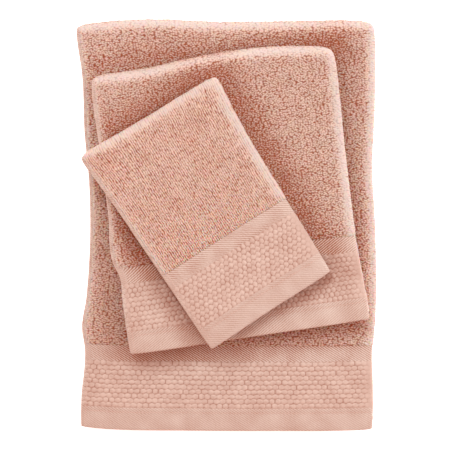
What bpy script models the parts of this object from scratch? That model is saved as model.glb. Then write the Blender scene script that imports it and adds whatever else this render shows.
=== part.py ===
"""A bath towel set: a bath towel, a hand towel and a guest towel, each folded and laid on the one below.

Every towel is one woven cloth. Its field is terry, with loops on both faces. Each end has a flat header band,
a dobby panel and a turned end hem, and each long side has a narrow turned hem, all sewn down with thread.
A cloth is folded lengthwise first, off its middle, with the fold on the right (+X). That gives an upper and
a lower ply. The doubled cloth is then folded crosswise, with its front end on top and facing -Y. The guest
towel's two leaves open like a book, so they are separate solids that meet halfway round the fold.
Metres, +Z up. The origin is on the ground, in the middle of the bath towel.
"""

import math

import bpy

PLY = 0.0040  # thickness of the terry, loops included
GAP = 0.0005  # between two plies, and between two leaves
SEAM = 0.0003  # between two solids that meet
LEAF_HALF = PLY + GAP / 2  # half the thickness of the doubled cloth
LEAF_PITCH = 2 * LEAF_HALF + GAP
PLY_MIDDLE = (PLY + GAP) / 2  # from the middle of the doubled cloth to the middle of a ply
TIGHT_BEND = LEAF_PITCH / 2  # bend radius where a leaf lies straight on the next one
WIDE_BEND = LEAF_PITCH  # bend radius where a third leaf lies between

HEM_LENGTH = 0.026
DOBBY_LENGTH = 0.055
HEADER_LENGTH = 0.017
SIDE_HEM_WIDTH = 0.008
HEM_THICKNESS = 0.0026
DOBBY_THICKNESS = 0.0024
HEADER_THICKNESS = 0.0018
SIDE_HEM_THICKNESS = 0.0022
THREAD_RADIUS = 0.0002
HEM_STITCH_IN = 0.021  # the end hem's seam, from the towel's end
SIDE_STITCH_IN = 0.006  # the side hem's seam, from the selvedge
FRONT_SETBACK = 0.006  # the lower leaves stop this far short of the front hem
BEND_STEPS = 9  # odd, so that the middle of a bend is an upright step, where the guest towel's leaves part
INNER_BEND_STEPS = 4

# Flat width and length of each cloth, its folded width and length, the number of leaves, whether the leaves
# open, and where it lies: the middle of the folded towel, the height of its underside and its turn about +Z.
BATH_HEIGHT = 3 * LEAF_PITCH - GAP
HAND_BASE = BATH_HEIGHT + GAP
GUEST_BASE = HAND_BASE + 3 * LEAF_PITCH
TOWELS = {
    "bath_towel": dict(
        flat=(0.70, 1.40),
        folded=(0.352, 0.478),
        leaves=3,
        opens=False,
        at=(0.0, 0.0, 0.0),
        turn=0.0,
    ),
    "hand_towel": dict(
        flat=(0.50, 0.90),
        folded=(0.280, 0.321),
        leaves=3,
        opens=False,
        at=(0.0055, 0.0305, HAND_BASE),
        turn=7.8,
    ),
    "guest_towel": dict(
        flat=(0.30, 0.50),
        folded=(0.172, 0.262),
        leaves=2,
        opens=True,
        at=(-0.0185, 0.0150, GUEST_BASE),
        turn=31.5,
    ),
}


def cotton(name, colour, roughness):
    """A Principled material for dyed cotton."""
    material = bpy.data.materials.new(name)
    material.use_nodes = True
    shader = material.node_tree.nodes["Principled BSDF"]
    shader.inputs["Base Color"].default_value = (*colour, 1.0)
    shader.inputs["Roughness"].default_value = roughness
    shader.inputs["Metallic"].default_value = 0.0
    return material


def arc(centre, radius, start, end, steps=BEND_STEPS):
    """Points on a circular arc, angles in degrees, both ends included."""
    turns = [math.radians(start + (end - start) * i / steps) for i in range(steps + 1)]
    return [(centre[0] + radius * math.cos(a), centre[1] + radius * math.sin(a)) for a in turns]


def bend_length(radius):
    """Length of the middle line round one bend, which is BEND_STEPS chords."""
    return 2 * BEND_STEPS * radius * math.sin(math.pi / BEND_STEPS / 2)


def fold_line(length, leaves, total):
    """The middle line of the doubled cloth in (Y, Z), from the front end of the top leaf to the back end."""
    front, top = -length / 2, LEAF_HALF + (leaves - 1) * LEAF_PITCH
    back_bend = WIDE_BEND if leaves == 3 else TIGHT_BEND
    back = length / 2 - back_bend - LEAF_HALF
    line = [(front, top)] + arc((back, top - back_bend), back_bend, 90, -90)
    if leaves == 3:
        turn = front + FRONT_SETBACK + LEAF_HALF + TIGHT_BEND
        line += arc((turn, LEAF_HALF + TIGHT_BEND), TIGHT_BEND, 270, 90)
    last = line[-1]
    rest = total - sum(math.dist(a, b) for a, b in zip(line, line[1:]))
    return line + [(last[0] + rest if leaves == 3 else last[0] - rest, last[1])]


def stretch(line, start, end):
    """The part of a line between two distances along it."""
    found, along = [], 0.0
    for a, b in zip(line, line[1:]):
        step = math.dist(a, b)
        low, high = max(start, along), min(end, along + step)
        if low < high - 1e-7:
            for s in (low, high):
                t = (s - along) / step
                point = (a[0] + (b[0] - a[0]) * t, a[1] + (b[1] - a[1]) * t)
                if not found or math.dist(found[-1], point) > 1e-6:
                    found.append(point)
        along += step
    return found


def offset(line, height):
    """The line moved sideways by height, to its left, with mitred corners."""
    moved = []
    for i, point in enumerate(line):
        a, b = line[max(i - 1, 0)], line[min(i + 1, len(line) - 1)]
        before = math.atan2(point[1] - a[1], point[0] - a[0]) if i else None
        after = math.atan2(b[1] - point[1], b[0] - point[0]) if i < len(line) - 1 else before
        before = after if before is None else before
        half = (math.remainder(after - before, 2 * math.pi)) / 2
        normal = before + half + math.pi / 2
        reach = height / math.cos(half)
        moved.append((point[0] + reach * math.cos(normal), point[1] + reach * math.sin(normal)))
    return moved


def doubled(width, low_edge, thickness):
    """Outline of the lengthwise fold in (X, height): an upper and a lower ply, joined by a bend on the right."""
    inner, outer = PLY_MIDDLE - thickness / 2, PLY_MIDDLE + thickness / 2
    bend = (width / 2 - LEAF_HALF, 0.0)
    upper_edge = -width / 2 + SIDE_HEM_WIDTH + SEAM
    lower_edge = low_edge + SIDE_HEM_WIDTH + SEAM
    around = arc(bend, outer, 90, -90)
    back = arc(bend, inner, -90, 90, INNER_BEND_STEPS)
    return [(upper_edge, outer)] + around + [(lower_edge, -outer), (lower_edge, -inner)] + back + [(upper_edge, inner)]


def strip(edge, side, thickness):
    """Outline of a side hem in (X, height): a flat band at the free edge of one ply."""
    middle = side * PLY_MIDDLE
    low, high = middle - thickness / 2, middle + thickness / 2
    return [(edge, low), (edge, high), (edge + SIDE_HEM_WIDTH, high), (edge + SIDE_HEM_WIDTH, low)]


def curve_object(name, points, dimensions, cyclic, collection):
    """A POLY curve through points of two or three coordinates."""
    data = bpy.data.curves.new(name, "CURVE")
    data.dimensions = dimensions
    spline = data.splines.new("POLY")
    spline.points.add(len(points) - 1)
    for slot, point in zip(spline.points, points):
        slot.co = (*point, *[0.0] * (3 - len(point)), 1.0)
    spline.use_cyclic_u = cyclic
    made = bpy.data.objects.new(name, data)
    collection.objects.link(made)
    return made


def swept(name, outline, line, material, towel):
    """A solid of one outline carried along a fold line: a flat curve in the towel's (Y, Z) plane with a bevel object."""
    # In a flat curve's bevel, the outline's X runs to the line's right and its Y along the curve's own Z,
    # which the rotation below turns to the towel's +X.
    guide = curve_object(name + "_outline", [(-height, x) for x, height in outline], "2D", True, outlines)
    guide.data.fill_mode = "NONE"
    guide.hide_render = True
    guide.display_type = "WIRE"
    made = curve_object(name, line, "2D", False, towel_set)
    made.data.fill_mode = "NONE"
    made.data.bevel_mode = "OBJECT"
    made.data.bevel_object = guide
    made.data.use_fill_caps = True
    made.rotation_euler = (math.radians(90), 0.0, math.radians(90))
    made.data.materials.append(material)
    made.parent = towel
    return made


def thread(name, points, towel):
    """A sewing thread through three-dimensional points."""
    made = curve_object(name, points, "3D", False, towel_set)
    made.data.fill_mode = "FULL"
    made.data.bevel_depth = THREAD_RADIUS
    made.data.bevel_resolution = 1
    made.data.use_fill_caps = True
    made.data.materials.append(SEWING_THREAD)
    made.parent = towel
    return made


def hem_thread(name, line, width, low_edge, along, towel):
    """The seam of an end hem: it crosses the upper ply, rounds the side fold and crosses the lower ply."""
    lift = PLY_MIDDLE + HEM_THICKNESS / 2 + SEAM + THREAD_RADIUS
    bend = (width / 2 - LEAF_HALF, 0.0)
    route = [(-width / 2 + SIDE_HEM_WIDTH, lift)] + arc(bend, lift, 90, -90) + [(low_edge + SIDE_HEM_WIDTH, -lift)]
    a, b = stretch(line, along, along + 0.001)[:2]
    normal = (-(b[1] - a[1]) / math.dist(a, b), (b[0] - a[0]) / math.dist(a, b))
    return thread(name, [(x, a[0] + normal[0] * h, a[1] + normal[1] * h) for x, h in route], towel)


def side_thread(name, line, edge, side, towel):
    """The seam of a side hem, on the face that looks out of the fold."""
    lift = side * (PLY_MIDDLE + SIDE_HEM_THICKNESS / 2 + SEAM + THREAD_RADIUS)
    return thread(name, [(edge + SIDE_STITCH_IN, y, z) for y, z in offset(line, lift)], towel)


def leaves_of(length, leaves, total, opens):
    """Where the cloth is parted: one stretch of the fold line, or one for each leaf that opens."""
    if not opens:
        return [("", 0.0, total)]
    crest = length - TIGHT_BEND - LEAF_HALF + bend_length(TIGHT_BEND) / 2
    return [("_top_leaf", 0.0, crest - SEAM / 2), ("_bottom_leaf", crest + SEAM / 2, total)]


def make_towel(name, flat, folded, leaves, opens, at, turn):
    """All the solids of one folded towel, parented to an empty where the towel lies."""
    towel = bpy.data.objects.new(name, None)
    towel.location = at
    towel.rotation_euler = (0.0, 0.0, math.radians(turn))
    towel_set.objects.link(towel)

    width, length = folded
    total = flat[1]
    line = fold_line(length, leaves, total)
    upper_ply = width - LEAF_HALF + math.pi * PLY_MIDDLE
    low_edge = width / 2 - LEAF_HALF - (flat[0] - upper_ply)

    border = HEM_LENGTH + DOBBY_LENGTH + HEADER_LENGTH
    zones = (
        ("end_hem", 0.0, HEM_LENGTH, HEM_THICKNESS, FLAT_WEAVE),
        ("dobby_panel", HEM_LENGTH, HEM_LENGTH + DOBBY_LENGTH, DOBBY_THICKNESS, DOBBY),
        ("header_band", HEM_LENGTH + DOBBY_LENGTH, border, HEADER_THICKNESS, FLAT_WEAVE),
    )
    for zone, start, end, thickness, material in zones:
        outline = doubled(width, low_edge, thickness)
        swept(f"{name}_front_{zone}", outline, stretch(line, start, end - SEAM), material, towel)
        swept(f"{name}_back_{zone}", outline, stretch(line, total - end + SEAM, total - start), material, towel)
    hem_thread(f"{name}_front_hem_thread", line, width, low_edge, HEM_STITCH_IN, towel)
    hem_thread(f"{name}_back_hem_thread", line, width, low_edge, total - HEM_STITCH_IN, towel)

    field = doubled(width, low_edge, PLY)
    for leaf, start, end in leaves_of(length, leaves, total, opens):
        terry_line = stretch(line, max(start, border), min(end, total - border))
        swept(f"{name}{leaf}_terry_field", field, terry_line, TERRY, towel)
        leaf_line = stretch(line, start, end)
        for ply, edge, side in (("upper", -width / 2, 1), ("lower", low_edge, -1)):
            hem = strip(edge, side, SIDE_HEM_THICKNESS)
            swept(f"{name}{leaf}_{ply}_side_hem", hem, leaf_line, FLAT_WEAVE, towel)
            side_thread(f"{name}{leaf}_{ply}_side_hem_thread", leaf_line, edge, side, towel)


for old in list(bpy.data.objects):
    bpy.data.objects.remove(old)

towel_set = bpy.data.collections.new("bath_towel_set")
outlines = bpy.data.collections.new("outlines")
bpy.context.scene.collection.children.link(towel_set)
bpy.context.scene.collection.children.link(outlines)

TERRY = cotton("terry", (0.66, 0.35, 0.26), 0.95)
FLAT_WEAVE = cotton("flat_weave", (0.70, 0.42, 0.33), 0.85)
DOBBY = cotton("dobby", (0.69, 0.41, 0.32), 0.85)
SEWING_THREAD = cotton("sewing_thread", (0.72, 0.44, 0.35), 0.6)

for towel_name, towel_facts in TOWELS.items():
    make_towel(towel_name, **towel_facts)
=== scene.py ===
import math

import bpy
import numpy as np
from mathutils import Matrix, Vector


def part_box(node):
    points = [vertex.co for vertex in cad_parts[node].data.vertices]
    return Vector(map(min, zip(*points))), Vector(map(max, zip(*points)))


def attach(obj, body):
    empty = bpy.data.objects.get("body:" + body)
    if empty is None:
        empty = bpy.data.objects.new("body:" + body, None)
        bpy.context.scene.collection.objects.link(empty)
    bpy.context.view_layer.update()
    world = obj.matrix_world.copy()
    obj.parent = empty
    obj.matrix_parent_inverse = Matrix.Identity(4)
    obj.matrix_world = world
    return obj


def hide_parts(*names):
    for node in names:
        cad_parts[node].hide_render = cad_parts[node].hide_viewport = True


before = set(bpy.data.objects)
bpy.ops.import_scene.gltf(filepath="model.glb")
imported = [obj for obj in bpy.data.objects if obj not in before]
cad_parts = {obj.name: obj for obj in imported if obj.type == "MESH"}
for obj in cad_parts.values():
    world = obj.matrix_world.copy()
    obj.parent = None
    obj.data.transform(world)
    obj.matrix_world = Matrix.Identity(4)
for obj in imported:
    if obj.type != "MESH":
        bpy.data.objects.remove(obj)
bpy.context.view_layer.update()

# ---------------------------------------------------------------------------------------------------------
# The camera stands straight over the stack, far enough away that the upright sides hardly show.
# Up in the picture is +Y, where the bath towel's crosswise fold lies.
CAMERA_HEIGHT = 2.20
FIELD = 0.530  # width that the picture takes in, at the bath towel's top

bath_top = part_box("bath_towel_terry_field")[1].z
camera = bpy.data.objects.new("camera", bpy.data.cameras.new("camera"))
camera.location = (0.0, 0.0, CAMERA_HEIGHT)
camera.data.sensor_width = 36.0
camera.data.lens = camera.data.sensor_width * (CAMERA_HEIGHT - bath_top) / FIELD
bpy.context.scene.collection.objects.link(camera)
bpy.context.scene.camera = camera

# ---------------------------------------------------------------------------------------------------------
# The studio: a pale paper floor, a large soft lamp beyond the far folds, one at either side and one over
# the stack. The lamps are cool and the world's glow is warm, so the shade is a deeper orange than the tops.
FLOOR_HALF = 6.0
WORLD_GLOW, WORLD_STRENGTH = (1.0, 0.40, 0.23, 1.0), 0.58
LAMP_COLOUR = (0.60, 0.90, 1.0)
LAMPS = (
    ("key_light", (-0.50, 1.15, 1.75), 0.9, 23.0),
    ("left_light", (-1.90, -0.10, 1.05), 1.0, 12.5),
    ("right_light", (1.60, 0.30, 1.20), 1.0, 25.0),
    ("top_light", (0.10, 0.20, 2.60), 1.4, 7.0),
)


def soft_light(name, place, size, power):
    """A square lamp that faces the middle of the stack."""
    lamp = bpy.data.objects.new(name, bpy.data.lights.new(name, "AREA"))
    lamp.data.size = size
    lamp.data.energy = power
    lamp.data.color = LAMP_COLOUR
    lamp.location = place
    away = np.array(place) / np.linalg.norm(place)
    lamp.rotation_euler = (math.acos(away[2]), 0.0, math.atan2(away[0], -away[1]))
    bpy.context.scene.collection.objects.link(lamp)


for lamp in LAMPS:
    soft_light(*lamp)

world = bpy.data.worlds.new("studio")
world.use_nodes = True
world.node_tree.nodes["Background"].inputs["Color"].default_value = WORLD_GLOW
world.node_tree.nodes["Background"].inputs["Strength"].default_value = WORLD_STRENGTH
bpy.context.scene.world = world
bpy.context.scene.view_settings.view_transform = "Standard"

corners = [(FLOOR_HALF * x, FLOOR_HALF * y, 0.0) for x, y in ((-1, -1), (1, -1), (1, 1), (-1, 1))]
floor_mesh = bpy.data.meshes.new("floor")
floor_mesh.from_pydata(corners, [], [(0, 1, 2, 3)])
floor = bpy.data.objects.new("floor", floor_mesh)
floor.location.z = -0.001
bpy.context.scene.collection.objects.link(floor)
paper = bpy.data.materials.new("paper")
paper.use_nodes = True
paper_shader = paper.node_tree.nodes["Principled BSDF"]
paper_shader.inputs["Base Color"].default_value = (0.93, 0.93, 0.93, 1.0)
paper_shader.inputs["Roughness"].default_value = 0.9
paper_shader.inputs["Emission Color"].default_value = (1.0, 1.0, 1.0, 1.0)
paper_shader.inputs["Emission Strength"].default_value = 0.70
floor_mesh.materials.append(paper)

# ---------------------------------------------------------------------------------------------------------
# How the towels are folded and laid: each cloth is folded lengthwise off its middle, with the fold on the
# right, then crosswise with its front end on top. The three lie on each other, each at its own turn.
PLY = 0.0040
GAP = 0.0005
LEAF_HALF = PLY + GAP / 2
LEAF_PITCH = 2 * LEAF_HALF + GAP
PLY_MIDDLE = (PLY + GAP) / 2
TIGHT_BEND, WIDE_BEND = LEAF_PITCH / 2, LEAF_PITCH
FRONT_SETBACK = 0.006
HEM_LENGTH, DOBBY_LENGTH, HEADER_LENGTH = 0.026, 0.055, 0.017
BORDER = HEM_LENGTH + DOBBY_LENGTH + HEADER_LENGTH
SIDE_HEM_WIDTH = 0.008
PRESSED_FROM, PRESSED_TO = -0.006, 0.042  # distance beyond the edge of the towel above
PUFF = 0.13
FOLD_KEPT_STRAIGHT = 0.002, 0.030  # distance from the guest towel's crosswise fold


def smooth(x, low, high):
    """Smoothstep: 0 below low, 1 above high, level at both ends."""
    t = np.clip((x - low) / (high - low), 0.0, 1.0)
    return t * t * (3 - 2 * t)


def grain(seed, x, y, cell_x, cell_y):
    """A smooth random field from -1 to 1: random values on a lattice of cells, blended by smoothstep."""
    table = np.random.default_rng(seed).uniform(-1, 1, (256, 256))
    i, j = x / cell_x, y / cell_y
    i0, j0 = np.floor(i).astype(int), np.floor(j).astype(int)
    s, t = smooth(i - i0, 0, 1), smooth(j - j0, 0, 1)
    low = table[i0 % 256, j0 % 256] * (1 - s) + table[(i0 + 1) % 256, j0 % 256] * s
    high = table[i0 % 256, (j0 + 1) % 256] * (1 - s) + table[(i0 + 1) % 256, (j0 + 1) % 256] * s
    return low * (1 - t) + high * t


def outline(points, x):
    """A smooth curve through points of (place, offset in mm): a cubic Hermite curve between each two, whose
    slope at each point is the mean slope of its neighbours."""
    place, offset = np.array(points, float).T
    slope = np.gradient(offset, place)
    k = np.clip(np.searchsorted(place, x) - 1, 0, len(place) - 2)
    width = place[k + 1] - place[k]
    t = np.clip((x - place[k]) / width, 0, 1)
    rise = (2 * t**3 - 3 * t**2 + 1) * offset[k] + (3 * t**2 - 2 * t**3) * offset[k + 1]
    run = (t**3 - 2 * t**2 + t) * slope[k] + (t**3 - t**2) * slope[k + 1]
    return (rise + run * width) / 1000


class Towel:
    """One cloth: its flat size, how it is folded, where it lies, and how its edges wander from straight.

    The edges are lists of (place from -1 to 1 along the edge, offset in mm): left and right run from the
    front to the back and move along X, front and back run from left to right and move along Y.
    """

    def __init__(self, name, flat, folded, leaves, at, turn, seed, left, right, front, back, corner):
        self.name, self.flat, self.folded, self.leaves = name, flat, folded, leaves
        self.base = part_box(f"{name}_{'bottom_leaf_' if leaves == 2 else ''}terry_field")[0].z
        self.at, self.turn, self.seed, self.corner = at, math.radians(turn), seed, corner
        self.edges = left, right, front, back
        width, length = folded
        self.side_bend = width / 2 - LEAF_HALF
        self.over = width - LEAF_HALF  # where the side fold starts, from the left selvedge
        self.back_radius = WIDE_BEND if leaves == 3 else TIGHT_BEND
        self.back_bend = length / 2 - self.back_radius - LEAF_HALF
        self.front_bend = -length / 2 + FRONT_SETBACK + LEAF_HALF + TIGHT_BEND
        self.top = LEAF_HALF + (leaves - 1) * LEAF_PITCH
        self.height = self.top + LEAF_HALF
        self.v1 = self.back_bend + length / 2
        self.v2 = self.v1 + math.pi * self.back_radius
        self.v3 = self.v2 + (self.back_bend - self.front_bend if leaves == 3 else flat[1])
        self.v4 = self.v3 + math.pi * TIGHT_BEND
        self.drape, self.above = None, None

    def pressed(self, x, y):
        """How far the towel above flattens this one: 1 beneath it, falling by a smoothstep to 0 beside it."""
        if self.above is None:
            return np.zeros_like(x)
        c, s = math.cos(self.turn - self.above.turn), math.sin(self.turn - self.above.turn)
        offset = np.array(self.at) - np.array(self.above.at)
        c_above, s_above = math.cos(self.above.turn), math.sin(self.above.turn)
        across = c_above * offset[0] + s_above * offset[1] + c * x - s * y
        along = -s_above * offset[0] + c_above * offset[1] + s * x + c * y
        half_width, half_length = self.above.folded[0] / 2, self.above.folded[1] / 2
        beyond = np.maximum(np.abs(across) - half_width, np.abs(along) - half_length)
        return 1 - smooth(beyond, PRESSED_FROM, PRESSED_TO)

    def fold(self, u, v, n):
        """Folds the flat cloth (u across, v along, n out of its face) to the towel's own (x, y, z).

        Lengthwise: the ply runs right, goes round a half circle of radius PLY_MIDDLE + n, and runs back under
        itself, which gives x and a height h. Crosswise: h rides on a line that does the same in (y, z) at the
        back, and once more at the front where the cloth is folded in three. The thin border plies sink.
        """
        thin = smooth(np.minimum(v, self.flat[1] - v), BORDER - 0.002, BORDER + 0.010)
        middle = PLY_MIDDLE * (0.84 + 0.16 * thin)
        turn = np.clip((u - self.over) / PLY_MIDDLE, 0, np.pi)
        x = self.side_bend + np.minimum(u - self.over, 0) - np.maximum(u - self.over - np.pi * PLY_MIDDLE, 0)
        x = x + (middle + n) * np.sin(turn)
        h = (middle + n) * np.cos(turn) - 0.0006 * (1 - thin)
        reach = self.back_radius + h
        around = np.clip((v - self.v1) / self.back_radius, 0, np.pi)
        y = -self.folded[1] / 2 + np.minimum(v, self.v1) - np.clip(v - self.v2, 0, self.v3 - self.v2)
        y = y + reach * np.sin(around)
        z = self.top - self.back_radius + reach * np.cos(around)
        inner = TIGHT_BEND + h
        under = np.clip((v - self.v3) / TIGHT_BEND, 0, np.pi)
        y = y + np.maximum(v - self.v4, 0) - np.where(v > self.v3, inner * np.sin(under), 0)
        z = np.where(v > self.v3, LEAF_HALF + TIGHT_BEND - inner * np.cos(under), z)
        return x, y, z

    def settle(self, x, y, z):
        """Lays the folded towel down: its edges wander by their outlines, its corners round off by
        exponentials, its height swells by bell curves beside the folds and falls off at them, two random
        fields ripple it, and its whole thickness follows the sheet that was draped for it and stays square
        to that sheet. The guest towel's fold is kept straight, because its top leaf turns on it."""
        width, length = self.folded
        a, b = x / (width / 2), y / (length / 2)
        left, right, front, back = self.edges
        near = np.clip((1 - a) / 2, 0, 1), np.clip((1 + a) / 2, 0, 1)
        ends = np.clip((1 - b) / 2, 0, 1), np.clip((1 + b) / 2, 0, 1)
        dx = near[0] * outline(left, b) + near[1] * outline(right, b)
        dy = ends[0] * outline(front, a) + ends[1] * outline(back, a)
        side, end = width / 2 - np.abs(x), length / 2 - np.abs(y)
        pull = np.where(y > 0, 0.3, 0.1) * self.corner
        pull = pull * np.exp(-np.maximum(side, 0) / self.corner - np.maximum(end, 0) / self.corner)
        dx, dy = dx - pull * np.sign(x), dy - pull * np.sign(y)
        fold_side, fold_back = width / 2 - x, length / 2 - y
        full = 1 + 0.06 * np.exp(-(((fold_side - 0.016) / 0.014) ** 2))
        full = full + 0.06 * np.exp(-(((fold_back - 0.018) / 0.016) ** 2))
        for distance, drop, reach in (
            (fold_side, 0.14, 0.005),
            (fold_back, 0.12, 0.005),
            (width - fold_side, 0.12, 0.007),
            (length - fold_back, 0.05, 0.006),
        ):
            full = full - drop * np.exp(-np.maximum(distance, 0) / reach)
        full = full + 0.035 * grain(self.seed, x + 1, y + 1, 0.055, 0.07)
        full = full + 0.030 * grain(self.seed + 1, x + 1, y + 1, 0.023, 0.03)
        if self.above:
            full = full + PUFF * (1 - self.pressed(x, y))
        z = z * full
        x, y = x + dx, y + dy
        lift, slope_x, slope_y = self.drape(x, y) if self.drape else (0.0, 0.0, 0.0)
        if self.leaves == 2:
            lift = lift * smooth(fold_back, *FOLD_KEPT_STRAIGHT)
        x, y, z = x - slope_x * z, y - slope_y * z, z + lift
        c, s = math.cos(self.turn), math.sin(self.turn)
        return np.stack([self.at[0] + c * x - s * y, self.at[1] + s * x + c * y, self.base + z], -1)

    def place(self, u, v, n):
        """Folds and then settles points of the flat cloth."""
        return self.settle(*self.fold(u, v, n))


bath = Towel(
    "bath_towel", (0.70, 1.40), (0.352, 0.478), 3, (0.0, 0.0), 0.0, 11,
    left=[
        (-1, 5), (-0.86, 6), (-0.60, 10), (-0.52, 7), (-0.36, 12), (-0.12, 16),
        (0.23, 15), (0.45, 10), (0.76, 6.5), (0.9, 1.5), (1, -2),
    ],
    right=[
        (-1, -2.5), (-0.85, -2.5), (-0.61, -3.5), (-0.5, -1), (-0.1, 0), (0.1, -2),
        (0.27, -4.5), (0.45, -2.5), (0.6, -1), (1, -0.5),
    ],
    front=[(-1, 3), (-0.8, 0.5), (-0.3, -1), (0.3, -1.5), (0.8, -1), (1, 0)],
    back=[(-1, -1), (-0.55, 4.5), (0, 1.5), (0.6, 3), (0.85, 3.5), (1, 2)],
    corner=0.010,
)
hand = Towel(
    "hand_towel", (0.50, 0.90), (0.280, 0.321), 3, (0.0055, 0.0305), 7.8, 23,
    left=[(-1, -1), (-0.62, -1), (-0.43, -1), (-0.37, -4.5), (0, -3.5), (0.5, -3), (1, -3.5)],
    right=[(-1, 3.5), (-0.8, 2), (-0.5, -1), (0, -1), (0.5, 1), (1, 4)],
    front=[(-1, -2.5), (0, -0.5), (1, 1)],
    back=[(-1, 6), (-0.6, 4.5), (-0.1, 10), (0.35, 11), (0.85, 4), (1, 1)],
    corner=0.014,
)
guest = Towel(
    "guest_towel", (0.30, 0.50), (0.172, 0.262), 2, (-0.0185, 0.0150), 31.5, 37,
    left=[(-1, 5), (-0.3, 1), (0.4, -3), (1, -7)],
    right=[(-1, -1.2), (-0.3, -1.5), (0.45, -1.5), (0.8, 1.5), (1, 5)],
    front=[(-1, -4.5), (0, -1), (1, 0.5)],
    back=[(-1, 4), (0, 2.5), (1, 3)],
    corner=0.010,
)
bath.above, hand.above = hand, guest
TOWELS = bath, hand, guest

# ---------------------------------------------------------------------------------------------------------
# Laying the towels down: the hand towel settles on the bath towel, and the guest towel on both, with one
# corner past the hand towel's edge. Cloth sheets fall on the towels beneath to find how each one lies.
SHEET_CELL = 0.010
DROP = 0.004
SETTLING_FRAMES = 30
SHEET_GAP = 0.0015  # how far a rested sheet hovers over what it lies on
SMOOTHINGS = 8


def lid(towel):
    """The towel's top as an upturned tray: a grid at its full height, whose rim goes down to its base."""
    width, length = towel.folded
    a = np.linspace(-width / 2, width / 2, round(width / SHEET_CELL) + 1)
    b = np.linspace(-length / 2, length / 2, round(length / SHEET_CELL) + 1)
    x, y = np.meshgrid(np.concatenate([a[:1], a, a[-1:]]), np.concatenate([b[:1], b, b[-1:]]), indexing="ij")
    high = np.zeros_like(x)
    high[1:-1, 1:-1] = towel.height
    return towel.settle(x, y, high)


def sheet_object(name, points):
    """A mesh object over a grid of points."""
    across, along = points.shape[:2]
    index = np.arange(across * along).reshape(across, along)
    faces = np.stack([index[:-1, :-1], index[1:, :-1], index[1:, 1:], index[:-1, 1:]], -1).reshape(-1, 4)
    mesh = bpy.data.meshes.new(name)
    mesh.from_pydata(points.reshape(-1, 3), [], faces.tolist())
    made = bpy.data.objects.new(name, mesh)
    bpy.context.scene.collection.objects.link(made)
    return made


def settle_down(towel, *beneath):
    """Drops a stiff cloth sheet with the towel's outline on the towels beneath, and keeps how far each of its
    points came to rest above or below the towel's base, with the slopes, for the towel to follow."""
    width, length = towel.folded
    a = np.linspace(-width / 2, width / 2, round(width / SHEET_CELL) + 1)
    b = np.linspace(-length / 2, length / 2, round(length / SHEET_CELL) + 1)
    x, y = np.meshgrid(a, b, indexing="ij")
    start = towel.settle(x, y, np.zeros_like(x))
    start[..., 2] += DROP
    supports = [sheet_object(f"{under.name}_lid", lid(under)) for under in beneath]
    for support in supports:
        support.modifiers.new("collision", "COLLISION")
        support.collision.thickness_outer = 0.001
        support.collision.cloth_friction = 40.0
    falling = sheet_object(f"{towel.name}_sheet", start)
    cloth_settings = falling.modifiers.new("cloth", "CLOTH")
    cloth_settings.settings.quality = 8
    cloth_settings.settings.mass = 0.6
    cloth_settings.settings.air_damping = 6.0
    cloth_settings.settings.tension_stiffness = 40.0
    cloth_settings.settings.compression_stiffness = 40.0
    cloth_settings.settings.shear_stiffness = 25.0
    cloth_settings.settings.bending_stiffness = 26.0
    cloth_settings.collision_settings.distance_min = 0.001
    cloth_settings.collision_settings.collision_quality = 4
    cloth_settings.point_cache.frame_end = SETTLING_FRAMES
    for step in range(1, SETTLING_FRAMES + 1):
        bpy.context.scene.frame_set(step)
    rested = falling.evaluated_get(bpy.context.evaluated_depsgraph_get()).to_mesh()
    points = np.empty(len(rested.vertices) * 3)
    rested.vertices.foreach_get("co", points)
    lift = points.reshape(*start.shape)[..., 2] - towel.base - SHEET_GAP
    bpy.context.scene.frame_set(1)
    for used in (falling, *supports):
        bpy.data.objects.remove(used)
    for smoothing in range(SMOOTHINGS):
        padded = np.pad(lift, 1, mode="edge")
        lift = (padded[:-2, 1:-1] + padded[2:, 1:-1] + padded[1:-1, :-2] + padded[1:-1, 2:] + 2 * lift) / 6
    slope_x, slope_y = np.gradient(lift, a[1] - a[0], b[1] - b[0])

    def follow(x, y):
        """The rested sheet at any (x, y): its lift and slopes, read between its points."""
        i = np.clip((x - a[0]) / (a[1] - a[0]), 0, len(a) - 1.001)
        j = np.clip((y - b[0]) / (b[1] - b[0]), 0, len(b) - 1.001)
        i0, j0 = i.astype(int), j.astype(int)
        s, t = i - i0, j - j0

        def read(field):
            """Blends the four points round each place, in proportion."""
            low = field[i0, j0] * (1 - s) + field[i0 + 1, j0] * s
            high = field[i0, j0 + 1] * (1 - s) + field[i0 + 1, j0 + 1] * s
            return low * (1 - t) + high * t

        return read(lift), read(slope_x), read(slope_y)

    towel.drape = follow


settle_down(hand, bath)
settle_down(guest, hand, bath)

# ---------------------------------------------------------------------------------------------------------
# The terry fields: cotton woven with loops on both faces. On the bath and hand towels the rows of loops run
# across and lean every way; the guest towel's stand in fine ribs along it. Each field is one cloth.


def lines(start, *stretches, every=1):
    """Places of grid lines: each stretch of (end, step) goes on from the last, in equal steps no longer than
    its own. The count of cells is a multiple of every."""
    places = [start]
    for number, (end, step) in enumerate(stretches):
        cells = max(1, math.ceil((end - places[-1]) / step - 1e-9))
        if number == len(stretches) - 1:
            cells += -(len(places) - 1 + cells) % every
        places += list(np.linspace(places[-1], end, cells + 1)[1:])
    return np.array(places)


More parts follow.
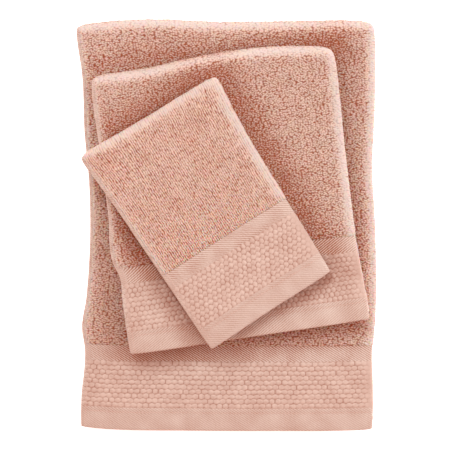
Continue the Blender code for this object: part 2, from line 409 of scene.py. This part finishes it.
def grid_faces(across, along, every):
    """Faces of a closed cloth: the outer face has every cell, the inner one each block of every by every
    cells, and the blocks at the rim are many-sided, so that both faces share the outer face's rim."""
    outer = np.arange(across * along).reshape(across, along)
    quads = np.stack([outer[:-1, :-1], outer[1:, :-1], outer[1:, 1:], outer[:-1, 1:]], -1).reshape(-1, 4)
    m, p = (across - 1) // every, (along - 1) // every
    inner = np.full((m + 1, p + 1), -1)
    inner[1:-1, 1:-1] = across * along + np.arange((m - 1) * (p - 1)).reshape(m - 1, p - 1)
    blocks = np.stack([inner[1:-2, 1:-2], inner[1:-2, 2:-1], inner[2:-1, 2:-1], inner[2:-1, 1:-2]], -1)
    blocks = blocks.reshape(-1, 4)
    step = np.arange(every + 1)
    i, j = every * np.arange(1, m - 1)[:, None], every * np.arange(1, p - 1)[:, None]
    west = np.hstack([outer[0, j + step], inner[1, 2:-1, None], inner[1, 1:-2, None]])
    east = np.hstack([inner[-2, 1:-2, None], inner[-2, 2:-1, None], outer[-1, j + step[::-1]]])
    south = np.hstack([inner[1:-2, 1, None], inner[2:-1, 1, None], outer[i + step[::-1], 0]])
    north = np.hstack([outer[i + step, -1], inner[2:-1, -2, None], inner[1:-2, -2, None]])
    corners = [
        [*outer[every::-1, 0], *outer[0, 1 : every + 1], inner[1, 1]],
        [*outer[-1, every::-1], *outer[-2 : -every - 2 : -1, 0], inner[-2, 1]],
        [*outer[-every - 1 :, -1], *outer[-1, -2 : -every - 2 : -1], inner[-2, -2]],
        [*outer[0, -every - 1 :], *outer[1 : every + 1, -1], inner[1, -2]],
    ]
    faces = []
    for group in (quads, blocks, west, east, south, north):
        faces += group.tolist()
    return faces + [[int(k) for k in corner] for corner in corners]


def cloth(name, towel, us, vs, thickness, rounding, relief=None, inner_every=1):
    """A closed piece of cloth over the grid us by vs, folded and laid.

    Its two faces lie half a thickness from its middle and come together in a rounded rim, rounding wide on
    the left, right, front and back. relief(u, v) returns how far the outer face stands proud, and a value
    from 0 to 1 that the material reads as pile and as painted light and shade.
    """
    u, v = np.meshgrid(us, vs, indexing="ij")
    rim = np.ones_like(u)
    for distance, width in zip((u - us[0], us[-1] - u, v - vs[0], vs[-1] - v), rounding):
        rim = np.minimum(rim, np.sqrt(1 - (1 - np.clip(distance / width, 0, 1)) ** 2))
    proud, pile = relief(u, v) if relief else (np.zeros_like(u), np.full_like(u, 0.5))
    k = inner_every
    inside = (slice(k, -k, k), slice(k, -k, k))
    flat_u = np.concatenate([u.ravel(), u[inside].ravel()])
    flat_v = np.concatenate([v.ravel(), v[inside].ravel()])
    outer_n, inner_n = (thickness / 2 + proud) * rim, -thickness / 2 * rim[inside]
    flat_n = np.concatenate([outer_n.ravel(), inner_n.ravel()])
    mesh = bpy.data.meshes.new(name)
    mesh.from_pydata(towel.place(flat_u, flat_v, flat_n), [], grid_faces(*u.shape, k))
    mesh.polygons.foreach_set("use_smooth", np.ones(len(mesh.polygons), bool))
    corner = np.empty(len(mesh.loops), np.int32)
    mesh.loops.foreach_get("vertex_index", corner)
    weave_map = mesh.uv_layers.new(name="cloth")
    weave_map.uv.foreach_set("vector", np.stack([flat_u, flat_v], -1)[corner].astype(np.float32).ravel())
    pile_and_light_map = mesh.attributes.new("pile", "FLOAT", "POINT")
    pile_and_light_values = np.concatenate([pile.ravel(), pile[inside].ravel()])
    pile_and_light_map.data.foreach_set("value", pile_and_light_values.astype(np.float32))
    piece = bpy.data.objects.new(name, mesh)
    bpy.context.scene.collection.objects.link(piece)
    return piece


class Shade:
    """An output socket of a material. Arithmetic on it adds Math nodes, and node() adds any other node."""

    def __init__(self, tree, socket=None):
        self.tree, self.socket = tree, socket

    def node(self, kind, settings=None, sockets=None, output=0):
        """Adds a node: its settings first, then a value or a link for each named or numbered input."""
        made = self.tree.nodes.new("ShaderNode" + kind)
        for setting, value in (settings or {}).items():
            setattr(made, setting, value)
        for key, value in (sockets or {}).items():
            if isinstance(value, Shade):
                self.tree.links.new(value.socket, made.inputs[key])
            else:
                made.inputs[key].default_value = value
        return Shade(self.tree, made.outputs[output])

    def feed(self, shader, socket):
        """Links this value to the shader's socket."""
        self.tree.links.new(self.socket, shader.inputs[socket])

    def math(self, operation, *values):
        """A Math node over these values."""
        return self.node("Math", {"operation": operation}, dict(enumerate(values)))

    def __add__(self, other):
        return self.math("ADD", self, other)

    def __sub__(self, other):
        return self.math("SUBTRACT", self, other)

    def __rsub__(self, other):
        return self.math("SUBTRACT", other, self)

    def __mul__(self, other):
        return self.math("MULTIPLY", self, other)

    def __pow__(self, other):
        return self.math("POWER", self, other)

    __radd__, __rmul__ = __add__, __mul__

    def within(self):
        """The value held between 0 and 1."""
        return self.math("MINIMUM", self.math("MAXIMUM", self, 0.0), 1.0)

    def wave(self):
        """A sine of the value in turns, from 0 to 1."""
        return self.math("SINE", self * (2 * math.pi)) * 0.5 + 0.5

    def noise(self, vector, per_metre, detail=1.0, stretch=(1.0, 1.0)):
        """Plane noise on the cloth, per_metre cells to the metre, squeezed across and along by stretch."""
        scale = (per_metre * stretch[0], per_metre * stretch[1], 1.0)
        spread = self.node("VectorMath", {"operation": "MULTIPLY"}, {0: vector, 1: scale})
        sockets = {"Vector": spread, "Scale": 1.0, "Detail": detail}
        return self.node("TexNoise", {"noise_dimensions": "2D"}, sockets)

    def blend(self, amount, low, high):
        """Colour low where amount is 0, high where it is 1."""
        return self.node("Mix", {"data_type": "RGBA"}, {0: amount, 6: low, 7: high}, output=2)


def dyed(red, green, blue):
    """A colour given as seen, from 0 to 255, as the light that it reflects."""
    return (*[((c / 255 + 0.055) / 1.055) ** 2.4 for c in (red, green, blue)], 1.0)


def cotton(name, constants):
    """A new material with these constants on its shader. Returns it, its shader, a Shade to start from, the
    cloth's own coordinates and the pile value, which carries painted light and shade as well."""
    material = bpy.data.materials.new(name)
    material.use_nodes = True
    shader = material.node_tree.nodes["Principled BSDF"]
    for socket, value in constants.items():
        shader.inputs[socket].default_value = value
    s = Shade(material.node_tree)
    flat = s.node("UVMap", {"uv_map": "cloth"})
    pile = s.node("Attribute", {"attribute_name": "pile"}, output=2)
    return material, shader, s, flat, pile


LOOP_HEIGHT = 0.0020
RIB = 0.00245
RIB_HEIGHT = 0.0016
# Tip colour: painted light on loop crowns; deep colour: painted shade between loops; fuzz: painted sheen.
TIP, DEEP_SHADE, SHEEN_FUZZ = dyed(240, 207, 189), dyed(166, 86, 58), dyed(227, 209, 202)
PAINTED_SHADE_DEPTH = {"bath_towel": (0.28, 0.88), "hand_towel": (0.75, 0.75)}  # painted shade beside and behind the towel above
TERRY_EDGE = {"bath_towel": 0.0032, "hand_towel": 0.0032, "guest_towel": 0.0028}
TERRY_GLOSS = {
    "Roughness": 0.95,
    "Subsurface Weight": 0.60,
    "Subsurface Radius": (1.0, 0.25, 0.12),
    "Subsurface Scale": 0.006,
    "Specular IOR Level": 0.15,
    "Sheen Weight": 0.25,
    "Sheen Roughness": 0.40,
    "Sheen Tint": (1.0, 0.94, 0.90, 1.0),
}


def fold_parting_and_sheen(towel, u, v):
    """How far the loops part where the cloth turns over a fold or ends: a bell curve round each, up to 1.
    It flattens the relief, and as painted sheen it turns the colour to pale fuzz.
    """
    side = np.exp(-(((u - towel.over + 0.0005) / 0.0070) ** 2))
    back = np.exp(-(((v - towel.v1 - 0.20 * (towel.v2 - towel.v1)) / 0.0060) ** 2))
    edge = np.exp(-((np.minimum(u, towel.flat[0] - u) / 0.0080) ** 2))
    return np.maximum(np.maximum(side, back), edge)


def painted_shade_beside(towel, u, v):
    """Painted shade on the upper leaf beside the towel above: this towel's pressed value, 1 beneath
    the towel above and falling to 0 beside it.
    """
    return towel.pressed(u - towel.folded[0] / 2, v - towel.folded[1] / 2)


def loops_across(towel, row, height):
    """Rows of short loops across the cloth: two sines that lean either way cross into dashes, their phases
    wander at two sizes, and loose tufts break them."""
    seed = towel.seed

    def relief(u, v):
        rows = 0.0
        for lean, number in ((0.32, 0), (-0.38, 10)):
            wander = 0.60 * grain(seed + number, u, v, 0.0065, 0.0050)
            wander = wander + 0.35 * grain(seed + 1 + number, u, v, 0.0028, 0.0024)
            rows = rows + 0.5 * np.sin(2 * np.pi * ((v + lean * u) / row + wander))
        tuft = grain(seed + 2, u, v, 0.0020, 0.0014)
        pile = np.clip(0.54 + 0.42 * rows + 0.24 * tuft, 0, 1)
        clump = grain(seed + 3, u, v, 0.012, 0.009)
        parting_and_sheen = fold_parting_and_sheen(towel, u, v)
        proud = height * (pile - 0.55) * (1 - 0.6 * parting_and_sheen) + 0.00025 * clump
        # Painted shade: the pile value, and so the colour, is lowered beside and behind the towel above.
        beside, behind = PAINTED_SHADE_DEPTH[towel.name]
        shade_depth = beside + (behind - beside) * smooth(v, 0.88 * towel.v1, 0.95 * towel.v1)
        pile = pile - shade_depth * painted_shade_beside(towel, u, v)
        # Painted sheen: over folds and selvedges the pile value rises towards pale fuzz.
        return proud, pile + (1.5 - pile) * 0.60 * parting_and_sheen

    return relief


def loops_along(towel, row, height):
    """Ribs of loops along the cloth: a sine across it, over random tufts that are longer than wide, and that
    stand out more towards the side fold."""
    seed = towel.seed

    def relief(u, v):
        loose = smooth(grain(seed + 5, u, v, 0.040, 0.050) + 3.0 * (u / towel.folded[0] - 0.72), -0.2, 0.8)
        rows = 0.5 * np.sin(2 * np.pi * u / row)
        tuft = grain(seed + 2, u, v, 0.0030, 0.0060)
        pile = np.clip(0.52 + 0.30 * rows + (0.15 + 0.15 * loose) * tuft, 0, 1)
        clump = grain(seed + 3, u, v, 0.014, 0.012)
        parting_and_sheen = fold_parting_and_sheen(towel, u, v)
        proud = height * (pile - 0.52) * (1 - 0.6 * parting_and_sheen) + 0.0002 * clump
        # Painted sheen: over folds and selvedges the pile value rises towards pale fuzz.
        return proud, pile + (1.5 - pile) * 0.55 * parting_and_sheen

    return relief


def terry(name, loop, stretch, rib=None):
    """Dyed cotton loops: Voronoi cells of the size loop, bent by noise, give pale tips over a deep ground,
    which are painted light on the loop crowns and painted shade in the valleys between them.
    Where a rib width is given, a sine across the cloth draws the cells together into ribs along it. A pile
    value over 0.75 turns to pale fuzz: painted sheen where the loops part on a fold, seen from the side."""
    material, shader, s, flat, pile = cotton(name, TERRY_GLOSS)
    turned = {"Vector": flat, "Scale": 160.0, "Detail": 1.0}
    sway = s.node("TexNoise", {"noise_dimensions": "2D"}, turned, output=1)
    swayed = s.node("VectorMath", {"operation": "MULTIPLY_ADD"}, {0: sway, 1: (0.0016, 0.0016, 0.0), 2: flat})
    cells = s.node("VectorMath", {"operation": "MULTIPLY"}, {0: swayed, 1: (1 / loop[0], 1 / loop[1], 1.0)})
    spread = {"Vector": cells, "Scale": 1.0, "Randomness": 0.85}
    loops = s.node("TexVoronoi", {"voronoi_dimensions": "2D"}, spread)
    fibre = s.noise(flat, 900, 2.0, stretch)
    patch = s.noise(flat, 60, 1.0)
    crown = 1.0 - loops * 1.15
    if rib:
        across = s.node("SeparateXYZ", {}, {0: swayed})
        crown = crown * 0.60 + (across * (1 / rib)).wave() * 0.55
    # The blend from the deep to the tip colour is painted shade between the loops and painted light on them.
    height = (crown * 1.30 + pile * 0.55 + fibre * 0.5 + patch * 0.2 - 0.80).within()
    # Painted sheen: a high pile value turns the colour to pale fuzz.
    painted_sheen = (pile * 2.0 - 1.5).within() * 0.85
    s.blend(painted_sheen, s.blend(height, DEEP_SHADE, TIP), SHEEN_FUZZ).feed(shader, "Base Color")
    bump = s.node("Bump", {}, {"Strength": 0.70, "Distance": 0.0012, "Height": crown + fibre * 0.5})
    bump.feed(shader, "Normal")
    return material


TERRY = {
    "bath_towel": terry("bath_towel_terry", (0.0030, 0.0017), (0.6, 1.2)),
    "hand_towel": terry("hand_towel_terry", (0.0028, 0.0016), (0.6, 1.2)),
    "guest_towel": terry("guest_towel_terry", (0.0020, 0.0034), (1.3, 0.6), RIB),
}
FIELD_RIM = (0.0030, 0.0030, 0.0025, 0.0025)
BODY = {
    "bath_towel": "bath_towel",
    "hand_towel": "hand_towel",
    "guest_towel_top_leaf": "guest_towel_top_leaf",
    "guest_towel_bottom_leaf": "guest_towel",
}


def terry_field(towel, leaf, starts, stretches, us, relief):
    vs = lines(starts, *stretches, every=6)
    piece = cloth(f"{towel.name}{leaf}_terry", towel, us, vs, PLY, FIELD_RIM, relief, inner_every=6)
    piece.data.materials.append(TERRY[towel.name])
    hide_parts(f"{towel.name}{leaf}_terry_field")
    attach(piece, BODY[towel.name + leaf])
    return piece


def field_across(towel, fine, coarse):
    """Grid lines across a field: fine on the upper ply and round the side fold, coarse on the lower ply."""
    first, last = TERRY_EDGE[towel.name], towel.flat[0] - TERRY_EDGE[towel.name]
    round_fold = towel.over + math.pi * PLY_MIDDLE
    return lines(
        first,
        (first + 0.0024, 0.0006),
        (towel.over - 0.004, fine),
        (round_fold + 0.003, 0.0011),
        (last - 0.0024, coarse),
        (last, 0.0006),
        every=6,
    )


for towel, across, along, rows in ((bath, 0.0022, 0.0012, 0.0025), (hand, 0.0014, 0.0010, 0.0024)):
    end = towel.flat[1] - BORDER
    stretches = (
        (BORDER + 0.003, 0.0010),
        (towel.v2 - 0.004, along),
        (towel.v3, 0.012),
        (towel.v4, 0.0012),
        (end - 0.003, 0.012),
        (end, 0.0010),
    )
    us = field_across(towel, across, 0.009)
    terry_field(towel, "", BORDER, stretches, us, loops_across(towel, rows, LOOP_HEIGHT))

crest = guest.v1 + math.pi * TIGHT_BEND / 2
guest_across = field_across(guest, 0.00075, 0.0016)
guest_loops = loops_along(guest, RIB, RIB_HEIGHT)
terry_field(
    guest, "_top_leaf", BORDER,
    ((BORDER + 0.003, 0.0010), (crest - 0.002, 0.0016), (crest, 0.0010)),
    guest_across, guest_loops,
)
guest_end = guest.flat[1] - BORDER
terry_field(
    guest, "_bottom_leaf", crest,
    ((crest + 0.006, 0.0010), (guest_end - 0.003, 0.0022), (guest_end, 0.0010)),
    guest_across, guest_loops,
)

# ---------------------------------------------------------------------------------------------------------
# The header bands: flat twill between the terry and the dobby panel, woven in one with them. A band's far
# edge goes in under the loops, and its near edge under the dobby's floats.
HEADER_THICKNESS = 0.0018
TWILL_PITCH, TWILL_TURN = 0.0022, math.radians(31)
# The deep twill colour paints shade in the twill lines and beside the towel above.
TWILL_PALE, TWILL_SHADE = dyed(231, 207, 193), dyed(168, 96, 66)
TUCK = 0.0015  # how far a piece of the cloth goes in under the next one
WOVEN_GLOSS = {
    "Roughness": 0.88,
    "Specular IOR Level": 0.2,
    "Sheen Weight": 0.25,
    "Sheen Roughness": 0.5,
    "Sheen Tint": (1.0, 0.9, 0.85, 1.0),
}


def twill(name, line_strength, turn=TWILL_TURN):
    """Flat dyed cotton: slanting twill lines, which are a sine on the cloth's own coordinates, and fine yarn
    noise. The lines are painted shade, and they grow stronger where the pile value is low, as painted shade
    where the cloth is in the shade of a towel."""
    material, shader, s, flat, pile = cotton(name, WOVEN_GLOSS)
    across = s.node("SeparateXYZ", {}, {0: flat})
    along = s.node("SeparateXYZ", {}, {0: flat}, output=1)
    slub = s.noise(flat, 350, 1.0, (0.5, 1.5))
    turns = (across * math.sin(turn) + along * math.cos(turn)) * (1 / TWILL_PITCH) + slub * 0.4
    ridge = turns.wave()
    yarn = s.noise(flat, 1100, 2.0, (1.0, 1.0))
    patch = s.noise(flat, 45, 1.0)
    line_shade = (ridge - 0.5) * (1.5 - pile * 1.2) * line_strength
    tone = (pile * 0.7 + line_shade + yarn * 0.45 + patch * 0.3 - 0.16).within()
    s.blend(tone, TWILL_SHADE, TWILL_PALE).feed(shader, "Base Color")
    height = ridge * 0.7 + yarn * 0.5
    bump = s.node("Bump", {}, {"Strength": 0.45, "Distance": 0.0004, "Height": height})
    bump.feed(shader, "Normal")
    return material


def border_piece(towel, end, kind, first, last, thickness, relief, rounding, step, material):
    """One piece of a border over the whole width of the cloth. kind is its (name, node name), and first and
    last are measured from the cloth's end.

    The upper ply of the front border is fine. What lies under the stack or inside it is coarse, except on the
    guest towel, which opens.
    """
    shown = end == "front" or towel is guest
    across, along = step if shown else (0.0040, 0.0030)
    round_fold = towel.over + math.pi * PLY_MIDDLE
    edge = TERRY_EDGE[towel.name]
    us = lines(
        edge,
        (edge + 0.001, 0.0005),
        (towel.over - 0.003, across),
        (round_fold + 0.003, 0.0010),
        (towel.flat[0] - edge - 0.001, across if towel is guest else 0.0060),
        (towel.flat[0] - edge, 0.0005),
    )
    if end == "back":
        first, last = towel.flat[1] - last, towel.flat[1] - first
        rounding = (*rounding[:2], rounding[3], rounding[2])
    vs = lines(first, (first + 0.0012, 0.0004), (last - 0.0012, along), (last, 0.0004))
    name, node = kind
    piece = cloth(f"{towel.name}_{end}_{name}", towel, us, vs, thickness, rounding, relief)
    piece.data.materials.append(material)
    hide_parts(f"{towel.name}_{end}_{node}")
    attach(piece, "guest_towel_top_leaf" if towel is guest and end == "front" else towel.name)
    return piece


def woven_flat(towel):
    """A nearly level face: a slow rise and fall, and a pile value that wanders a little and is lowered
    beside the towel above, as painted shade.
    """
    seed = towel.seed + 10

    def relief(u, v):
        # Painted shade: the pile value is lowered beside the towel above.
        pile = 0.58 + 0.10 * grain(seed + 1, u, v, 0.012, 0.010) - 0.75 * painted_shade_beside(towel, u, v)
        return 0.00012 * grain(seed, u, v, 0.018, 0.012), pile

    return relief


HEADER_WEAVE = twill("header_twill", 0.75)
HAND_HEADER_WEAVE = twill("hand_header_twill", 0.75, -TWILL_TURN)
trims = {towel.name: [] for towel in TOWELS}
for towel in TOWELS:
    for end in ("front", "back"):
        trims[towel.name].append(border_piece(
            towel, end, ("header", "header_band"),
            HEM_LENGTH + DOBBY_LENGTH - TUCK, BORDER + 2 * TUCK, HEADER_THICKNESS,
            woven_flat(towel), (0.0004, 0.0004, 0.0004, 0.0004), (0.0022, 0.0014),
            HAND_HEADER_WEAVE if towel is hand else HEADER_WEAVE,
        ))

# ---------------------------------------------------------------------------------------------------------
# The dobby panels: ten rows of raised floats laid like bricks. Each float is a small rounded pad of cotton
# that pulls the ground in round itself, so a thin groove runs under it and between it and the next, and
# painted shade darkens the groove.
DOBBY_THICKNESS = 0.0024
FLOAT_ROWS, ROW_PITCH, FLOAT_RISE = 10, 0.0054, 0.0010
FLOAT_PITCH = {"bath_towel": 0.0074, "hand_towel": 0.0060, "guest_towel": 0.0062}
FLOAT_ROUNDNESS = {"bath_towel": 4.5, "hand_towel": 3.6, "guest_towel": 2.6}
FLOAT_SCALLOP = {"bath_towel": 0.10, "hand_towel": 0.12, "guest_towel": 0.16}
# The deep dobby colour paints shade in the grooves between the floats.
DOBBY_PALE, DOBBY_GROOVE_SHADE = dyed(226, 193, 177), dyed(166, 104, 82)


def dobby(towel):
    """Brick rows of pads: row by t = v over the row pitch, place in the row by s = u over the float pitch,
    shifted half a pad on every other row, each pad being (1 - |2s|^p) (1 - |2t|^3) high. The grooves between
    two rows swing up over each pad below them and down over each pad above, by a cosine in both directions.
    A bell curve draws the pads flat where the cloth turns over the side fold."""
    pitch, power, scallop = FLOAT_PITCH[towel.name], FLOAT_ROUNDNESS[towel.name], FLOAT_SCALLOP[towel.name]

    def relief(u, v):
        far = v > towel.flat[1] / 2
        from_end = np.where(far, towel.flat[1] - v, v)
        sway = 0.10 * grain(towel.seed + 20, u, from_end, 0.016, 0.009)
        t = (from_end - HEM_LENGTH - 0.0005) / ROW_PITCH + sway
        t = t - scallop * np.cos(np.pi * t) * np.cos(2 * np.pi * u / pitch)
        row = np.floor(t)
        s = u / pitch + 0.5 * (row % 2) + 0.10 * grain(towel.seed + 21, u, row * 0.01, 0.020, 0.011)
        across, along = 2 * np.abs(s - np.floor(s) - 0.5), 2 * np.abs(t - row - 0.5)
        between = np.round(s) * 0.01 + row * 0.37
        open_side = 0.82 + 0.16 * grain(towel.seed + 23, between, row * 0.01, 0.01, 0.01)
        pad = (1 - open_side * across**power) * (1 - along**3.0)
        size = 1 + 0.25 * grain(towel.seed + 22, np.floor(s) * 0.01 + row * 0.13, row * 0.01, 0.01, 0.01)
        inside = smooth(t, -0.05, 0.05) * (1 - smooth(t, FLOAT_ROWS - 0.05, FLOAT_ROWS + 0.05))
        taut = 1 - 0.8 * np.exp(-(((u - towel.over) / 0.006) ** 2))
        pad = pad * inside
        # Painted shade: a low pile value in the grooves, drawn in the deep colour.
        groove_shade = 0.12 + 0.16 * grain(towel.seed + 24, u, v, 0.0030, 0.0020)
        pile = np.where(inside > 0.5, groove_shade + 0.75 * smooth(pad, 0.0, 0.55), 0.6)
        # Painted shade: the pile value is lowered beside the towel above.
        pile = 0.75 + (pile - 0.75) * taut - 0.35 * painted_shade_beside(towel, u, v)
        return FLOAT_RISE * size * taut * (pad - 0.35 * inside), pile

    return relief


def floats(name):
    """Dyed cotton floats: pale rounded tops, painted shade in the grooves from the pile value, fine yarns in
    the bump.
    """
    material, shader, s, flat, pile = cotton(name, WOVEN_GLOSS)
    yarn = s.noise(flat, 1300, 2.0, (0.7, 1.6))
    patch = s.noise(flat, 45, 1.0)
    tone = (pile * 0.95 + yarn * 0.35 + patch * 0.25 - 0.27).within()
    s.blend(tone, DOBBY_GROOVE_SHADE, DOBBY_PALE).feed(shader, "Base Color")
    s.node("Bump", {}, {"Strength": 0.4, "Distance": 0.0004, "Height": yarn}).feed(shader, "Normal")
    return material


DOBBY_WEAVE = floats("dobby_floats")
for towel in TOWELS:
    for end in ("front", "back"):
        trims[towel.name].append(border_piece(
            towel, end, ("dobby", "dobby_panel"),
            HEM_LENGTH - TUCK, HEM_LENGTH + DOBBY_LENGTH, DOBBY_THICKNESS,
            dobby(towel), (0.0004, 0.0004, 0.0004, 0.0005), (0.0010, 0.00068), DOBBY_WEAVE,
        ))

# ---------------------------------------------------------------------------------------------------------
# The end hems: the flat twill end of the cloth, turned under twice and sewn down, so the free edge is a soft
# round fold and the face dips along the seam.
HEM_THICKNESS = 0.0026
HEM_STITCH_IN = 0.021


def hem_face(towel):
    """A soft face: a bell curve dips it along the seam and puckers with the stitches, and it slowly waves.
    The same bell curve lowers the pile value, painted shade in the seam's dip.
    """

    def relief(u, v):
        from_end = np.minimum(v, towel.flat[1] - v)
        seam = np.exp(-((from_end - HEM_STITCH_IN) / 0.0016) ** 2)
        pucker = grain(towel.seed + 31, u, v, 0.006, 0.02)
        slow = grain(towel.seed + 30, u, v, 0.022, 0.014)
        # Painted shade: the pile value is lowered in the seam's dip and beside the towel above.
        pile = 0.66 - 0.12 * seam + 0.08 * slow - 0.35 * painted_shade_beside(towel, u, v)
        return 0.00012 * slow - 0.00022 * seam * (1 + 0.5 * pucker), pile

    return relief


HEM_WEAVE = twill("hem_twill", 0.50)
HAND_HEM_WEAVE = twill("hand_hem_twill", 0.60, -TWILL_TURN)
for towel in TOWELS:
    for end in ("front", "back"):
        trims[towel.name].append(border_piece(
            towel, end, ("hem", "end_hem"),
            0.0, HEM_LENGTH + 0.0004, HEM_THICKNESS,
            hem_face(towel), (0.0004, 0.0004, 0.0013, 0.0006), (0.0022, 0.0013),
            HAND_HEM_WEAVE if towel is hand else HEM_WEAVE,
        ))

# ---------------------------------------------------------------------------------------------------------
# The side hems: a narrow strip of each long side, turned under and sewn. Its face is the cloth's own, so the
# floats run out over it, and beside the terry it is flat twill. The guest towel's are parted at its crest.
SIDE_HEM_THICKNESS = 0.0024


def side_face(towel):
    """The dobby's relief inside the border, shallower on the guest towel, and a low random pile beyond it."""
    floats_face = dobby(towel)
    share = 0.35 if towel is guest else 0.85

    def relief(u, v):
        proud, pile = floats_face(u, v)
        from_end = np.minimum(v, towel.flat[1] - v)
        border = 1 - smooth(from_end, HEM_LENGTH + DOBBY_LENGTH - 0.001, HEM_LENGTH + DOBBY_LENGTH + 0.001)
        low = grain(towel.seed + 40, u, v, 0.0020, 0.0026)
        beside = smooth(from_end, BORDER - 0.001, BORDER + 0.002)
        proud = proud * border * share + 0.00030 * low * beside
        pile = 0.62 + (pile - 0.62) * border * share + 0.25 * low * beside
        return proud, pile

    return relief


SIDE_WEAVE = twill("side_hem_twill", 0.35)


def side_hem(towel, leaf, ply, stretches, start):
    """One side hem, or one leaf's share of it, along the upper or the lower ply's selvedge."""
    edge = 0.0 if ply == "upper" else towel.flat[0] - SIDE_HEM_WIDTH
    us = np.linspace(edge, edge + SIDE_HEM_WIDTH, 10)
    vs = lines(start, *stretches)
    round_edge, tucked_edge = 0.0014, 0.0004
    sides = (round_edge, tucked_edge) if ply == "upper" else (tucked_edge, round_edge)
    rounding = (*sides, 0.0010, 0.0010)
    name = f"{towel.name}{leaf}_{ply}"
    piece = cloth(f"{name}_selvedge", towel, us, vs, SIDE_HEM_THICKNESS, rounding, side_face(towel))
    piece.data.materials.append(SIDE_WEAVE)
    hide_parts(f"{name}_side_hem")
    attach(piece, BODY[towel.name + leaf])
    trims[towel.name].append(piece)
    return piece


for ply in ("upper", "lower"):
    for towel in (bath, hand):
        stretches = (
            (BORDER, 0.0010 if ply == "upper" else 0.0030),
            (towel.v1, 0.0016),
            (towel.v2, 0.0012),
            (towel.v3, 0.0100),
            (towel.v4, 0.0012),
            (towel.flat[1], 0.0060),
        )
        side_hem(towel, "", ply, stretches, 0.0)
    side_hem(guest, "_top_leaf", ply, ((BORDER, 0.0010), (crest, 0.0016)), 0.0)
    side_hem(guest, "_bottom_leaf", ply, ((guest.flat[1] - BORDER, 0.0018), (guest.flat[1], 0.0010)), crest)

# ---------------------------------------------------------------------------------------------------------
# The seams: rows of short lockstitches in matching cotton, pulled a little way into the hems that they hold.
STITCH_PITCH, STITCH_LENGTH, STITCH_RADIUS = 0.0033, 0.0026, 0.00028
SIDE_STITCH_IN = 0.006
RINGS, SIDES = 5, 6


def thread(name):
    """Spun sewing thread: one pale dyed colour with a fine twist in the bump."""
    material = bpy.data.materials.new(name)
    material.use_nodes = True
    shader = material.node_tree.nodes["Principled BSDF"]
    shader.inputs["Roughness"].default_value = 0.7
    s = Shade(material.node_tree)
    place = s.node("TexCoord", output=3)
    twist = s.node("TexNoise", {}, {"Vector": place, "Scale": 2500.0, "Detail": 1.0})
    s.blend(twist, dyed(206, 150, 130), dyed(240, 205, 190)).feed(shader, "Base Color")
    s.node("Bump", {}, {"Strength": 0.3, "Distance": 0.0001, "Height": twist}).feed(shader, "Normal")
    return material


SEWING_THREAD = thread("sewing_thread")


def seam(node, towel, starts, ends, n, body):
    """A row of stitches from (u, v) starts to ends. Each is a ball of rings drawn out along the seam: a ring
    lies at the cosine of its turn along the stitch, and its radius is the sine."""
    starts, ends = np.array(starts), np.array(ends)
    distance = np.linalg.norm(ends - starts)
    ahead = (ends - starts) / distance
    middles = np.arange(STITCH_PITCH, distance - STITCH_PITCH / 2, STITCH_PITCH)
    ring = np.repeat(np.linspace(0, np.pi, RINGS + 2)[1:-1], SIDES)
    side = np.tile(np.arange(SIDES) * 2 * np.pi / SIDES, RINGS)
    reach = STITCH_LENGTH / 2 * np.concatenate([[1], np.cos(ring), [-1]])
    wide = STITCH_RADIUS * np.concatenate([[0], np.sin(ring) * np.cos(side), [0]])
    high = STITCH_RADIUS * np.concatenate([[0], np.sin(ring) * np.sin(side), [0]])
    along = (middles[:, None] + reach).ravel()
    aside = np.tile(wide, len(middles))
    u = starts[0] + ahead[0] * along - ahead[1] * aside
    v = starts[1] + ahead[1] * along + ahead[0] * aside
    points = towel.place(u, v, n + np.tile(high, len(middles)))
    index = 1 + np.arange(RINGS * SIDES).reshape(RINGS, SIDES)
    after = np.roll(index, -1, axis=1)
    belt = np.stack([index[:-1], index[1:], after[1:], after[:-1]], -1).reshape(-1, 4)
    caps = np.concatenate([
        np.stack([np.zeros(SIDES, int), index[0], after[0]], -1),
        np.stack([np.full(SIDES, RINGS * SIDES + 1), after[-1], index[-1]], -1),
    ])
    shift = np.arange(len(middles))[:, None, None] * len(reach)
    faces = (belt + shift).reshape(-1, 4).tolist() + (caps + shift).reshape(-1, 3).tolist()
    name = node.replace("thread", "stitches")
    mesh = bpy.data.meshes.new(name)
    mesh.from_pydata(points, [], faces)
    mesh.polygons.foreach_set("use_smooth", np.ones(len(mesh.polygons), bool))
    mesh.materials.append(SEWING_THREAD)
    piece = bpy.data.objects.new(name, mesh)
    bpy.context.scene.collection.objects.link(piece)
    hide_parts(node)
    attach(piece, body)
    trims[towel.name].append(piece)


for towel in TOWELS:
    width, length = towel.flat
    ends = ("front", HEM_STITCH_IN, "guest_towel_top_leaf"), ("back", length - HEM_STITCH_IN, "guest_towel")
    for end, v, body in ends:
        seam(
            f"{towel.name}_{end}_hem_thread", towel, (SIDE_HEM_WIDTH, v), (width - SIDE_HEM_WIDTH, v),
            HEM_THICKNESS / 2 - 0.0002, body if towel is guest else towel.name,
        )
    leaves = (("", 0.0, length),)
    if towel is guest:
        leaves = ("_top_leaf", 0.0, crest), ("_bottom_leaf", crest, length)
    for leaf, first, last in leaves:
        for ply, u in (("upper", SIDE_STITCH_IN), ("lower", width - SIDE_STITCH_IN)):
            seam(
                f"{towel.name}{leaf}_{ply}_side_hem_thread", towel, (u, first), (u, last),
                SIDE_HEM_THICKNESS / 2 + 0.00005, BODY[towel.name + leaf],
            )

# ---------------------------------------------------------------------------------------------------------
# The guest towel is one cloth in two leaves: the width of its terry between the side hems, the bottom leaf's
# length from the crest, and each leaf's area of terry, without borders and hems.
terry_width = guest.flat[0] - 2 * SIDE_HEM_WIDTH
guest.flat[1] - crest
terry_width * (guest.flat[1] - BORDER - crest)
terry_width * (crest - BORDER)
